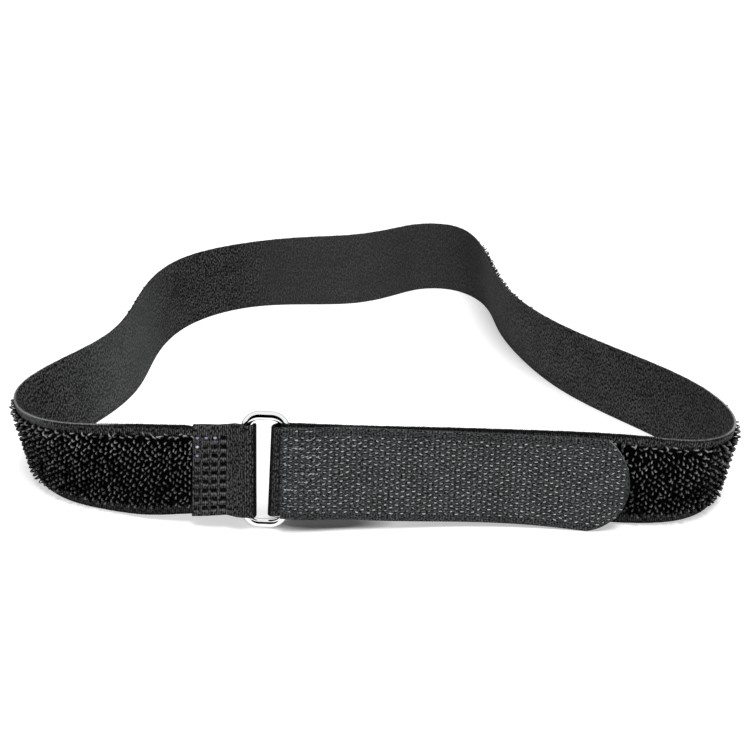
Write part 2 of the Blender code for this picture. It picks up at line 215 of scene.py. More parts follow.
def drift(place, *lengths):
    """A slow wander between -1 and 1: the mean of sines with the given wave lengths and set phases."""
    waves = [np.sin(2.0 * math.pi * place / length + 1.7 * k) for k, length in enumerate(lengths)]
    return sum(waves) / len(waves)


def lattice(first, second):
    """Every pair of a first and a second value, as two flat arrays; the second one changes faster."""
    return (grid.ravel() for grid in np.meshgrid(first, second, indexing="ij"))


def natural_spline(knots, values, at):
    """A natural cubic spline through values at the increasing knots, read at the places in at."""
    steps = np.diff(knots)[:, None]
    slopes = np.diff(values, axis=0) / steps
    count = len(knots)
    matrix = np.eye(count)
    right = np.zeros_like(values)
    for i in range(1, count - 1):
        matrix[i, i - 1 : i + 2] = steps[i - 1, 0], 2 * (steps[i - 1, 0] + steps[i, 0]), steps[i, 0]
        right[i] = 6 * (slopes[i] - slopes[i - 1])
    bends = np.linalg.solve(matrix, right)
    span = np.clip(np.searchsorted(knots, at) - 1, 0, count - 2)
    width = steps[span]
    after = (np.asarray(at) - knots[span])[:, None]
    before = width - after
    return (
        bends[span] * before**3 / (6 * width)
        + bends[span + 1] * after**3 / (6 * width)
        + (values[span] / width - bends[span] * width / 6) * before
        + (values[span + 1] / width - bends[span + 1] * width / 6) * after
    )


def lean_with_ring(distance, up):
    """How far to the right a place moves to lean with the ring, fading out beyond the weld."""
    fade = 1.0 - smooth_step((distance - FLAP_LENGTH) / LEAN_FADE)
    return LEAN * (up - TAPE_WIDTH / 2) * fade


class Tape:
    """The loop tape's middle plane as a ruled strip: a spline through the route, carried upwards."""

    def __init__(self):
        straight = FLAP_LENGTH + 0.6 * MM
        left_y, right_y = LEFT_FOLD_RADIUS, RIGHT_FOLD_DEPTH
        lead_in = [
            (-BAR_X, left_y, 0.0, TAPE_LIFT),
            (-BAR_X - 0.4 * straight, left_y + 0.1 * MM, -3.8 * MM, 1.07 * TAPE_LIFT),
            (-BAR_X - straight, left_y + 1.0 * MM, -2.5 * MM, 0.74 * TAPE_LIFT),
        ]
        lead_out = [
            (BAR_X + TAB_SETTLE, right_y, -0.9 * MM, 0.78 * TAPE_LIFT),
            (BAR_X, right_y, 0.0, TAPE_LIFT),
        ]
        points = np.concatenate([lead_in, np.array(ROUTE) * MM, lead_out])
        chords = np.linalg.norm(np.diff(points[:, :2], axis=0), axis=1)
        knots = np.concatenate([[0.0], np.cumsum(chords)])
        self.samples = natural_spline(knots, points, np.linspace(0.0, knots[-1], 4000))
        steps = np.linalg.norm(np.diff(self.samples[:, :2], axis=0), axis=1)
        self.distances = np.concatenate([[0.0], np.cumsum(steps)])
        self.length = self.distances[-1]
        self.tangents = np.gradient(self.samples[:, :2], self.distances, axis=0)
        self.samples[:, :2] += DRAWN_FROM[:2]
        self.samples[:, 3] = np.maximum(self.samples[:, 3], 0.0)

    def read(self, table, distance):
        return np.stack([np.interp(distance, self.distances, column) for column in table.T], axis=-1)

    def axes(self, distance):
        """Three unit vectors at a distance: along the tape, out of the loop, and up its tilted width."""
        tangent = unit(self.read(self.tangents, distance))
        tilt = self.read(self.samples, distance)[..., 2] / TAPE_WIDTH
        zero = np.zeros_like(tilt)
        along = np.stack([tangent[..., 0], tangent[..., 1], zero], axis=-1)
        level_out = np.stack([-tangent[..., 1], tangent[..., 0], zero], axis=-1)
        up = level_out * tilt[..., None]
        up[..., 2] = np.sqrt(1.0 - tilt**2)
        return along, np.cross(up, along), up

    def point(self, distance, up, out, rise=0.0):
        """The place at a distance along the tape, up from its lower edge, and out from its middle plane."""
        distance, up, out, rise = np.broadcast_arrays(distance, up, out, rise)
        x, y, tilt, lift = np.moveaxis(self.read(self.samples, distance), -1, 0)
        x = x + lean_with_ring(np.minimum(distance, self.length - distance), up)
        tangent = unit(self.read(self.tangents, distance))
        reach = out + tilt * (up / TAPE_WIDTH - 0.5)
        z = lift + rise + up * np.sqrt(1.0 - (tilt / TAPE_WIDTH) ** 2)
        return np.stack([x - tangent[..., 1] * reach, y + tangent[..., 0] * reach, z], axis=-1)


TAPE = Tape()


def twist_at_bar(distance, share):
    """How far the tape's top dips behind the left bar: 1.9 mm, fading out 9 to 18 mm from the bar."""
    near = smooth_step((18.0 * MM - distance) / (9.0 * MM))
    return -1.9 * MM * near * smooth_step((share - 0.2) / 0.8)


def flap_spread(distance, share):
    """How far the flap's top rises: stretched up at the bar, sunk before the weld, less so lower down."""
    knots = np.array([0.0, 1.3, 3.2, 5.0, 7.2, 9.1, 13.5]) * MM
    rise = np.array([1.5, 1.4, 0.6, -0.55, -0.65, -0.4, 0.4]) * MM
    return share * np.interp(distance, knots, rise)


def flap_offset(distance):
    """The flap's middle plane outside the tape's: two radii at the bar, pressed flat at the weld."""
    pressed = WEB_THICKNESS + GAP
    share = np.minimum(distance / (FLAP_LENGTH - WELD_LENGTH), 1.0)
    return pressed + (2 * LEFT_FOLD_RADIUS - pressed) * (1.0 - share**1.5)


def tab_offset(reach):
    """The tape end's middle plane outside the tape's: two depths at the bar, easing down on to the pile."""
    at_bar = 2 * RIGHT_FOLD_DEPTH
    settled = PRESSED_PILE_HEIGHT + HOOK_HEIGHT
    lifted = TIP_LIFT * np.maximum(2 * reach / TAB_REACH - 1.0, 0.0) ** 2
    return at_bar + (settled - at_bar) * smooth_step(reach / TAB_SETTLE) + lifted


def tab_point(reach, up, out):
    """A place on the tab: reach from the right bar, height up it, and out from the tape end's plane."""
    reach, up, out = np.broadcast_arrays(reach, up, out)
    share = reach / TAB_REACH
    sag = TAB_SAG * 4 * share * (1.0 - share)
    rise = TAB_RISE_AT_RING + (TAB_RISE_AT_TIP - TAB_RISE_AT_RING) * share - sag
    place = TAPE.point(np.minimum(TAPE.length - reach, TAPE.length), up, tab_offset(reach) + out, rise)
    place[..., 0] += np.minimum(reach, 0.0)
    return place


def tab_half_width(reach, side):
    """From the middle of the hook tape to its edge, on the side that is upper (+) or lower (-).

    It is full up to depth from the tip, then follows a circle of radius (w^2 / 4 + depth^2) / (2 depth).
    """
    depth = np.where(np.asarray(side) < 0.0, TIP_DEPTH_LOWER, TIP_DEPTH_UPPER)
    radius = ((TAB_WIDTH / 2) ** 2 + depth**2) / (2 * depth)
    past = reach - TAB_REACH + radius
    curved = np.sqrt(np.maximum(radius**2 - past**2, 0.0))
    return np.where(reach > TAB_REACH - depth, curved, TAB_WIDTH / 2)


# ---- meshes


def tube_walls(here, there):
    """Four-cornered faces between closed rings of points, given by the numbers of their points."""
    return np.stack([here, np.roll(here, -1, -1), np.roll(there, -1, -1), there], axis=-1).reshape(-1, 4)


def placed(name, data):
    """A new object in the scene that holds the data."""
    made = bpy.data.objects.new(name, data)
    bpy.context.scene.collection.objects.link(made)
    return made


def put_mesh(name, places, face_sets, material, corner_uv=None, tone=None):
    """One mesh object from whole arrays: places (n, 3) and a list of face arrays (m, sides).

    The faces are turned round if the closed body's signed volume, the sum of p0 . (p1 x p2) / 6 over its
    triangles, comes out negative. corner_uv lists one (corners, 2) array for each face array.
    """
    first = face_sets[0]
    corners = places[first]
    volume = sum(
        np.einsum("ij,ij->", corners[:, 0], np.cross(corners[:, k], corners[:, k + 1]))
        for k in range(1, first.shape[1] - 1)
    )
    if volume < 0:
        face_sets = [faces[:, ::-1] for faces in face_sets]
        corner_uv = corner_uv and [uv.reshape(*f.shape, 2)[:, ::-1] for uv, f in zip(corner_uv, face_sets)]
    mesh = bpy.data.meshes.new(name)
    mesh.vertices.add(len(places))
    mesh.vertices.foreach_set("co", np.ascontiguousarray(places, np.float32).ravel())
    order = np.concatenate([faces.ravel() for faces in face_sets])
    sizes = np.concatenate([np.full(len(faces), faces.shape[1]) for faces in face_sets])
    mesh.loops.add(len(order))
    mesh.loops.foreach_set("vertex_index", order.astype(np.int32))
    mesh.polygons.add(len(sizes))
    mesh.polygons.foreach_set("loop_start", (np.cumsum(sizes) - sizes).astype(np.int32))
    mesh.update(calc_edges=True)
    if corner_uv:
        flat = np.concatenate([uv.reshape(-1, 2) for uv in corner_uv]).astype(np.float32)
        mesh.uv_layers.new(name="tape").data.foreach_set("uv", flat.ravel())
    if tone is not None:
        layer = mesh.attributes.new("tone", "FLOAT", "POINT")
        layer.data.foreach_set("value", tone.astype(np.float32))
    mesh.validate()
    mesh.shade_smooth()
    mesh.set_sharp_from_angle(angle=math.radians(60.0))
    mesh.materials.append(material)
    return placed(name, mesh)


def strip_piece(name, places, along, round_section, material, tone):
    """A closed strip: places (rows, columns, 3), rows along it and columns round its section, ends capped.

    Its UV map is in metres: the distance along, and the distance round the section.
    """
    rows, columns = places.shape[:2]
    index = np.arange(rows * columns).reshape(rows, columns)
    walls = tube_walls(index[:-1], index[1:])
    u = np.broadcast_to(along[:, None], (rows, columns + 1))
    v = np.broadcast_to(round_section, (rows, columns + 1))
    uv = np.stack([u, v], axis=-1)
    wall_uv = np.stack([uv[:-1, :-1], uv[:-1, 1:], uv[1:, 1:], uv[1:, :-1]], axis=2).reshape(-1, 2)
    half = columns // 2
    side, back = np.arange(half), columns - 1 - np.arange(half)
    ladder = np.stack([side[:-1], back[:-1], back[1:], side[1:]], axis=-1)
    caps = np.concatenate([ladder, ladder[:, ::-1] + (rows - 1) * columns])
    cap_uv = uv[:, :-1].reshape(-1, 2)[caps.ravel()]
    tone = np.broadcast_to(tone, (rows, columns)).ravel()
    return put_mesh(name, places.reshape(-1, 3), [walls, caps], material, [wall_uv, cap_uv], tone)


def thread_piece(name, paths, flat_normals, radii, material, tone, sides=4):
    """Many short threads, each a tube round a flat path, with closed ends.

    paths is (threads, points, 3), flat_normals (threads, 3) is square to each path's plane, and a tube's
    section is p + r (cos a . side + sin a . flat normal), with side = flat normal x tangent.
    """
    threads, points = paths.shape[:2]
    tangents = unit(np.gradient(paths, axis=1))
    normals = np.broadcast_to(flat_normals[:, None], paths.shape)
    side = unit(np.cross(normals, tangents))
    turn = 2.0 * math.pi * (np.arange(sides) + 0.5) / sides
    radii = np.broadcast_to(radii, (threads, points))[..., None, None]
    ring = side[:, :, None] * np.cos(turn)[:, None] + normals[:, :, None] * np.sin(turn)[:, None]
    places = (paths[:, :, None] + ring * radii).reshape(-1, 3)
    index = np.arange(threads * points * sides).reshape(threads, points, sides)
    walls = tube_walls(index[:, :-1], index[:, 1:])
    caps = np.concatenate([index[:, 0, ::-1], index[:, -1]])
    tone = np.repeat(np.broadcast_to(tone.reshape(threads, -1), (threads, points)), sides, axis=1).ravel()
    return put_mesh(name, places, [walls, caps], material, tone=tone)


def web_section(low, first, count, count_inside):
    """The loop tape's section: up its outer face and down its inner one. Heights are shares of its width.

    The outer heights are low, count even ones from first, and low again from the top. Returns each point's
    share, its offset (+ outside), its distance from the nearer edge, and how far round the section it is,
    with one more value to close the ring.
    """
    low = np.array(low)
    outside = np.concatenate([low, np.linspace(first, 1.0 - first, count), 1.0 - low[::-1]])
    inside = np.linspace(1.0, 0.0, count_inside)
    share = np.concatenate([outside, inside])
    side = np.concatenate([np.ones(len(outside)), -np.ones(count_inside)]) * WEB_THICKNESS / 2
    edge = np.minimum(share, 1.0 - share) * TAPE_WIDTH
    thick = WEB_THICKNESS / TAPE_WIDTH
    girth = np.concatenate([outside, 2.0 + thick - inside, [2.0 + 2 * thick]]) * TAPE_WIDTH
    return share, side, edge, girth


# ---- materials


def srgb(red, green, blue):
    """A colour given in steps of 0 to 255, as linear values."""
    values = [channel / 255 for channel in (red, green, blue)]
    return (*(v / 12.92 if v <= 0.04045 else ((v + 0.055) / 1.055) ** 2.4 for v in values), 1.0)


class Finish:
    """A material's or the world's nodes, by short calls. Every input is a socket, a number or a colour."""

    def __init__(self, name, kept_in="materials", shader="Principled BSDF"):
        self.owner = getattr(bpy.data, kept_in).new(name)
        self.owner.use_nodes = True
        self.tree = self.owner.node_tree
        self.shader = self.tree.nodes[shader]

    def node(self, kind, settings=None, **inputs):
        made = self.tree.nodes.new(kind)
        for key, value in (settings or {}).items():
            setattr(made, key, value)
        for key, value in inputs.items():
            self.give(made.inputs[int(key[1:]) if key[1:].isdigit() else key.replace("_", " ")], value)
        return made

    def give(self, socket, value):
        if isinstance(value, bpy.types.NodeSocket):
            self.tree.links.new(value, socket)
        else:
            socket.default_value = value

    def math(self, operation, first, second=0.0, third=0.0):
        made = self.node("ShaderNodeMath", {"operation": operation}, _0=first, _1=second, _2=third)
        return made.outputs[0]

    def product(self, first, *others):
        for other in others:
            first = self.math("MULTIPLY", first, other)
        return first

    def scaled(self, value, low, high, to_low=0.0, to_high=1.0):
        """The value taken from the range low to high on to another range, and held inside it."""
        inputs = dict(Value=value, From_Min=low, From_Max=high, To_Min=to_low, To_Max=to_high)
        return self.node("ShaderNodeMapRange", **inputs).outputs[0]

    def mixed(self, share, first, second):
        made = self.node("ShaderNodeMix", {"data_type": "RGBA"})
        for socket, value in zip((made.inputs[0], made.inputs[6], made.inputs[7]), (share, first, second)):
            self.give(socket, value)
        return made.outputs[2]

    def tape_place(self):
        """The UV map: the distance along the tape, and the distance round its section."""
        return self.node("ShaderNodeUVMap", {"uv_map": "tape"}).outputs[0]

    def object_place(self):
        return self.node("ShaderNodeTexCoord").outputs["Object"]

    def parts(self, place):
        """The x, y and z of a place."""
        return self.node("ShaderNodeSeparateXYZ", Vector=place).outputs

    def stretched(self, place, *scale):
        return self.node("ShaderNodeMapping", Vector=place, Scale=scale).outputs[0]

    def tone(self):
        return self.node("ShaderNodeAttribute", {"attribute_name": "tone"}).outputs["Fac"]

    def seen_directly(self):
        """1 for a camera, glossy or transmitted ray, and 0 for light that falls on other surfaces."""
        rays = self.node("ShaderNodeLightPath").outputs
        mirrored = self.math("MAXIMUM", rays["Is Camera Ray"], rays["Is Glossy Ray"])
        return self.math("MAXIMUM", mirrored, rays["Is Transmission Ray"])

    def noise(self, place, size, detail):
        """Cloudy noise whose patches are about size across."""
        return self.node("ShaderNodeTexNoise", Vector=place, Scale=1.0 / size, Detail=detail).outputs["Fac"]

    def wave(self, place, pitch):
        """sin(2 pi place / pitch), from -1 to 1."""
        return self.math("SINE", self.math("MULTIPLY", place, 2 * math.pi / pitch))

    def bump(self, height, depth):
        made = self.node("ShaderNodeBump", Height=height, Distance=depth, Strength=1.0)
        self.give(self.shader.inputs["Normal"], made.outputs[0])

    def set(self, **inputs):
        for key, value in inputs.items():
            self.give(self.shader.inputs[key.replace("_", " ")], value)
        return self.owner


def knit_values(f):
    """A warp knit's lightness and height: chance light and dark stitches on upright ribs.

    Their contrast doubles at the left bend, and falls to a third at the back, which the photograph shows out
    of focus. The shift holds the mean lightness.
    """
    place = f.tape_place()
    stitches = f.scaled(f.noise(f.stretched(place, 1.0, 0.5, 1.0), 0.40 * MM, 1.0), 0.40, 0.62)
    ribs = f.scaled(f.wave(f.parts(place)[0], RIB_PITCH), -1.0, 1.0)
    clouds = f.scaled(f.noise(place, 8 * MM, 2.0), 0.3, 0.7, 0.8, 1.2)
    light = f.product(stitches, f.math("MULTIPLY_ADD", ribs, 0.9, 0.2), clouds)
    height = f.math("MULTIPLY_ADD", ribs, 0.5, f.product(stitches, 0.5))
    x, y, _ = f.parts(f.object_place())
    at_left = f.product(f.scaled(x, -0.035, -0.06), f.scaled(y, -0.065, -0.045))
    at_back = f.scaled(y, 0.0, 0.05)
    contrast = f.math("MULTIPLY_ADD", at_back, -0.65, f.math("ADD", at_left, 1.0))
    shift = f.math("MULTIPLY_ADD", at_back, 0.16, f.product(at_left, -0.37))
    return f.math("MULTIPLY_ADD", light, contrast, shift), f.product(height, contrast)


def knit_finish(name, dark, light):
    """A fine warp knit: black where its tone is 0, under the pile, and painted paler where it goes up to 2:
    painted sheen on the bends, and a paler inner face at the left.
    """
    f = Finish(name)
    lightness, height = knit_values(f)
    cloth = f.mixed(lightness, dark, light)
    covered = f.mixed(f.scaled(f.tone(), 0.0, 1.0), srgb(1, 1, 1), cloth)
    # Tone from 1 to 2 mixes in pale grey: painted sheen on the bends and their top edges, and a paler inner
    # face
    wear_and_sheen = f.mixed(f.scaled(f.tone(), 1.0, 2.0), covered, srgb(158, 160, 162))
    f.bump(height, KNIT_RELIEF)
    rough = f.scaled(lightness, 0.0, 1.0, 0.95, 0.75)
    return f.set(Base_Color=wear_and_sheen, Roughness=rough, Specular_IOR_Level=0.12)


def pile_finish():
    """Black nylon yarn: near black at the foot of a loop, and greyer at the top of each loop: a painted
    highlight.
    """
    f = Finish("pile_yarn")
    strands = f.noise(f.object_place(), 0.14 * MM, 1.0)
    crown_highlight = f.product(f.tone(), f.scaled(strands, 0.35, 0.65, 0.6, 1.15))
    # Painted highlight: the tone at the top of each loop mixes black towards pale grey
    colour = f.mixed(f.scaled(crown_highlight, 0.06, 1.0), srgb(0, 0, 0), srgb(190, 191, 194))
    f.bump(strands, 0.04 * MM)
    rough = f.scaled(strands, 0.3, 0.7, 0.5, 0.7)
    return f.set(Base_Color=colour, Roughness=rough, Specular_IOR_Level=0.02)


def weld_finish():
    """The flap: fine knit, glossier in the dents, which are painted black as shade, with a painted highlight
    on their lower lips, and a few pale flecks.

    Its tone is 0 on plain knit, up to 1 in a dent, down to -1 on a lip, and from 1 to 2 on a fleck.
    """
    f = Finish("welded_knit")
    lightness, height = knit_values(f)
    fused_and_shaded = f.scaled(f.tone(), 0.0, 1.0)
    lip = f.scaled(f.tone(), 0.0, -1.0)
    cloth = f.mixed(lightness, srgb(12, 12, 12), srgb(106, 106, 106))
    # Painted shade: black in the dents
    cloth = f.mixed(fused_and_shaded, cloth, srgb(0, 0, 0))
    # Painted highlight on the dents' lower lips
    cloth = f.mixed(f.product(lip, f.scaled(height, 0.2, 0.8, 0.35, 0.9)), cloth, srgb(126, 128, 132))
    cloth = f.mixed(f.scaled(f.tone(), 1.0, 1.4), cloth, srgb(158, 154, 182))
    cloth = f.mixed(f.scaled(f.tone(), 1.5, 2.0), cloth, srgb(232, 232, 246))
    f.bump(f.product(height, f.scaled(fused_and_shaded, 0.0, 1.0, 1.0, 0.25)), KNIT_RELIEF)
    rough = f.scaled(fused_and_shaded, 0.0, 1.0, 0.85, 0.6)
    return f.set(Base_Color=cloth, Roughness=rough, Specular_IOR_Level=0.05)


def hook_web_finish():
    """The hook tape's ground: black and grey floats, with painted shade in the pits, pale along the worn
    tip.
    """
    f = Finish("hook_tape_weave")
    place = f.tape_place()
    floats = f.scaled(f.noise(f.stretched(place, 0.55, 1.0, 1.0), 0.34 * MM, 1.0), 0.39, 0.63)
    clouds = f.scaled(f.noise(place, 7 * MM, 2.0), 0.3, 0.7, 0.85, 1.15)
    # Painted shade: where the relief is low, in the weave's pits, the cloth is darker
    raised = f.math("MULTIPLY_ADD", f.scaled(f.tone(), 0.0, 1.0), 0.6, 0.4)
    light = f.product(raised, floats, clouds)
    cloth = f.mixed(light, srgb(4, 4, 5), srgb(107, 110, 111))
    cloth = f.mixed(f.scaled(f.tone(), 1.0, 2.0), cloth, srgb(186, 188, 190))
    f.bump(floats, 0.05 * MM)
    return f.set(Base_Color=cloth, Roughness=0.85, Specular_IOR_Level=0.12)


def clear_thread_finish(name, low, high, roughness):
    """Clear nylon monofilament, greyed by the black weave under it."""
    f = Finish(name)
    patches = f.noise(f.object_place(), 0.3 * MM, 1.0)
    shade = f.math("MULTIPLY_ADD", f.tone(), 0.75, f.product(patches, 0.25))
    colour = f.mixed(shade, low, high)
    return f.set(Base_Color=colour, Roughness=roughness, IOR=1.53, Specular_IOR_Level=0.4)


def chrome_finish():
    """Polished plated wire with faint scratches up it, which reflects less where it is seen edge on."""
    f = Finish("polished_chrome")
    place = f.object_place()
    clouds = f.noise(place, 3 * MM, 3.0)
    scratches = f.noise(f.stretched(place, 1.0, 1.0, 0.06), 0.2 * MM, 2.0)
    rough = f.math("ADD", f.scaled(clouds, 0.35, 0.7, 0.02, 0.06), f.scaled(scratches, 0.6, 0.8, 0.0, 0.06))
    colour = f.mixed(clouds, srgb(239, 240, 241), srgb(248, 248, 249))
    f.bump(scratches, 0.0008 * MM)
    return f.set(Base_Color=colour, Metallic=1.0, Roughness=rough, Specular_Tint=(0.10, 0.10, 0.10, 1.0))


# ---- pieces


def make_web(material):
    """The loop tape's knitted ground: a strip round the whole loop, ribbed along both bare margins.

    Outer face: out = half thickness + rib height x ripple(distance) on the margins. Its edges roll in. Its
    tone is 1 on bare knit, 0 under the pile, and more on the bends and their top edges: painted sheen.
    """
    along = np.arange(GAP, TAPE.length - GAP, RIB_PITCH / 4)
    share, side, edge, girth = web_section([0.0, 0.012, 0.035, 0.065, 0.092, 0.115], 0.3, 2, 7)
    at = along[:, None]
    wave = ripple(at, RIB_PITCH)
    outside, upper = side > 0, share > 0.5
    margin = smooth_step((MARGIN + 0.4 * MM - edge) / (0.5 * MM))
    rolled = 0.45 * smooth_step(1.0 - edge / (0.35 * MM))
    ribs = np.where(outside, MARGIN_RIB_HEIGHT * wave * margin, FLAT_RIB_HEIGHT * wave)
    out = side * (1.0 - rolled) + np.sign(side) * ribs * (1.0 - rolled)
    frayed = 0.05 * MM * (wave - 0.5) + 0.06 * MM * drift(at, 3.1 * MM, 7.3 * MM, 1.3 * MM)
    up = share * TAPE_WIDTH + np.where(edge < 0.2 * MM, np.sign(share - 0.5) * frayed, 0.0)
    up = np.clip(up, 0.0, None) + twist_at_bar(at, share)

    left_bend, left_line, left_inside = (window(at, *ends) for ends in (LEFT_BEND, LEFT_LINE, LEFT_INSIDE))
    right_bend, right_line = (window(at - TAPE.length, *ends) for ends in (RIGHT_BEND, RIGHT_LINE))
    # Painted sheen on the bends: a pale line along their top edges, paler upper margins, and their upper
    # rolled edges kept light. The inner face at the left is made paler too.
    line = left_line * (1.6 - 1.1 * smooth_step((at - 0.042) / 0.02)) + 1.3 * right_line
    line = line * (1.0 + 0.1 * drift(at, 1.1 * MM, 2.7 * MM))
    tone = np.where(outside, margin * np.where(upper, 1.0, 0.55), 1.0)
    tone = np.where((edge < 0.4 * MM) & outside, 0.1 + 0.9 * (left_bend + right_bend) * upper, tone)
    tone = tone + line * ((edge < 0.05 * MM) & upper & outside)
    tone = tone + (0.22 * left_bend + 0.3 * right_bend) * margin * (outside & upper)
    tone = tone + 0.13 * left_inside * (side < 0)
    places = TAPE.point(at, up, out)
    piece = strip_piece("knitted_web", places, along, girth, material, tone)
    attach(piece, "strap")
    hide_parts("loop_tape_web")


# How far round its oval each point of a loop is, from foot to foot
LOOP_TURN = np.linspace(0.02, 0.98, 9) * 2.0 * math.pi


def loop_paths(distance, up, base, height, width, lean, heading, twist):
    """Loops of yarn as flat ovals: foot + axis x height (1 - cos q) / 2 + side x width / 2 sin q.

    The axis leans from the outward direction by lean, towards heading (0 along the tape, a quarter turn
    up it), and the oval is turned about its axis by twist. q is LOOP_TURN.
    """
    t, n, w = TAPE.axes(distance)
    towards = t * np.cos(heading)[:, None] + w * np.sin(heading)[:, None]
    axis = n * np.cos(lean)[:, None] + towards * np.sin(lean)[:, None]
    level = unit(np.cross(axis, towards))
    side = level * np.cos(twist)[:, None] + np.cross(axis, level) * np.sin(twist)[:, None]
    foot = TAPE.point(distance, up, base)[:, None]
    climb = (height[:, None] * (1.0 - np.cos(LOOP_TURN)) / 2.0)[..., None]
    swing = (width[:, None] / 2.0 * np.sin(LOOP_TURN))[..., None]
    return foot + axis[:, None] * climb + side[:, None] * swing, np.cross(axis, side)


def make_pile(material):
    """The pile: a lattice of yarn loops on the tape's outside, pressed down where the tab covers them."""
    start, end = FLAP_LENGTH + 0.2 * MM, TAPE.length - 0.4 * TAB_SETTLE
    columns = int((end - start) / LOOP_COLUMN_PITCH)
    column, row = lattice(np.arange(columns), np.arange(LOOP_ROWS))
    draw = np.random.default_rng(7)
    count = len(column)
    top_row = row == LOOP_ROWS - 1
    distance = start + column * LOOP_COLUMN_PITCH + draw.normal(0.0, 0.06 * MM, count)
    up = MARGIN + 0.45 * MM + (row + 0.5 * (column % 2)) * LOOP_ROW_PITCH
    up = up + draw.normal(0.0, 0.09 * MM, count)
    skew = 0.05 + 0.10 * window(distance, 0.0, 0.110, 0.036, 0.030)
    distance = np.maximum(distance - skew * (up - TAPE_WIDTH / 2), FLAP_LENGTH + 0.5 * MM)
    covered = smooth_step((distance - (TAPE.length - TAB_REACH - 1.5 * MM)) / (2.5 * MM))
    height = LOOP_HEIGHT * draw.uniform(0.82, 1.12, count) * np.where(top_row, 1.08, 1.0)
    width = LOOP_WIDTH * draw.uniform(0.75, 1.2, count) * np.where(top_row, 1.35, 1.0)
    lean = np.radians(draw.uniform(0.0, 15.0, count))
    heading = math.pi * draw.integers(0, 2, count) + draw.normal(0.0, 0.5, count)
    twist = draw.normal(0.0, 0.35, count)
    heading = np.where(top_row, math.pi / 2 + draw.normal(0.0, 0.7, count), heading)
    lean = np.where(top_row, np.radians(draw.uniform(8.0, 40.0, count)), lean)
    lean = lean + (np.radians(50.0) - lean) * covered
    height = height * (1.0 - 0.12 * covered)
    # Painted light: each loop gets a highlight at its top, brighter or dimmer by chance and brighter in the
    # upper rows, as painted light from above; the top row's highlight spreads further
    lit = draw.uniform(0.25, 1.0, count) * (0.5 + 0.5 * (row / (LOOP_ROWS - 1)) ** 2)
    crown_highlight = (0.5 - 0.5 * np.cos(LOOP_TURN)) ** 4
    tone = lit[:, None] * np.where(top_row[:, None], crown_highlight**0.65, crown_highlight)
    base = WEB_THICKNESS / 2 - 0.15 * MM
    paths, normals = loop_paths(distance, up, base, height, width, lean, heading, twist)
    stretches = {
        "pile_by_the_weld": (0.0, 0.130),
        "pile_round_the_back": (0.130, 0.290),
        "pile_at_the_right": (0.290, TAPE.length - TAB_REACH - 1.0 * MM),
        "pile_under_the_tab": (TAPE.length - TAB_REACH - 1.0 * MM, 1.0),
    }
    for name, (first, last) in stretches.items():
        own = (distance >= first) & (distance < last)
        piece = thread_piece(name, paths[own], normals[own], LOOP_THREAD / 2, material, tone[own])
        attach(piece, "strap")
        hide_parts("loop_pile")


def dent_field(distance, up):
    """The weld's dents at places on the flap: how deep, from 0 to 1, and how each place is toned.

    A dent is deepest near the bar and low down. The tone is its sharpened depth, painted shade in the dent,
    less the lit lip below it, a painted highlight, and the pale thread beside the first column, and rises
    towards 2 on the pale flecks near the top.
    """
    first = FLAP_LENGTH - WELD_LENGTH + 0.25 * MM
    field = (DENT_ROWS - 1) * DENT_PITCH_ACROSS + DENT_WIDTH
    lowest = (TAPE_WIDTH - field) / 2 - 0.5 * MM
    column = np.clip(np.round((distance - first - DENT_LENGTH / 2) / DENT_PITCH_ALONG), 0, DENT_COLUMNS - 1)
    row = np.clip(np.round((up - lowest - DENT_WIDTH / 2) / DENT_PITCH_ACROSS), 0, DENT_ROWS - 1)
    aside = np.abs(distance - (first + DENT_LENGTH / 2 + column * DENT_PITCH_ALONG))
    above = up - (lowest + DENT_WIDTH / 2 + row * DENT_PITCH_ACROSS)
    wall = 0.2 * MM
    across = smooth_step((DENT_LENGTH / 2 - aside) / wall + 0.5)
    inside = across * smooth_step((DENT_WIDTH / 2 - np.abs(above)) / wall + 0.5)
    lip = across * smooth_step((0.22 * MM - np.abs(above + DENT_WIDTH / 2 + 0.4 * MM)) / wall + 0.5)
    from_top = DENT_ROWS - 1 - row
    strength = np.clip(1.9 - 0.45 * column - 0.28 * np.maximum(3.0 - from_top, 0.0), 0.1, 1.0)
    strength = strength * (0.88 + 0.12 * np.sin(3.1 * row + 1.7 * column))
    fleck = ((column == 3) & (from_top < 3)) | ((column > 0) & (from_top == 0))
    glare = np.where(from_top == 1, 1.0, np.where(column == 1, 0.8, 0.5))
    spot = smooth_step(1.5 - np.hypot(aside * 0.8, above) / (0.33 * MM)) * fleck * glare
    # Painted shade in the dents, and below them the lip's painted highlight
    black = np.clip(3.0 * inside, 0.0, 1.0) * np.sqrt(strength)
    thread = smooth_step(1.5 - np.abs(aside - DENT_PITCH_ALONG / 2) / (0.12 * MM)) * (column < 1) * 0.5
    toned = black - np.maximum(lip * (0.2 + 0.8 * strength), thread) * (1.0 - black)
    return inside * strength, np.where(spot > 0.05, 1.0 + spot, toned)


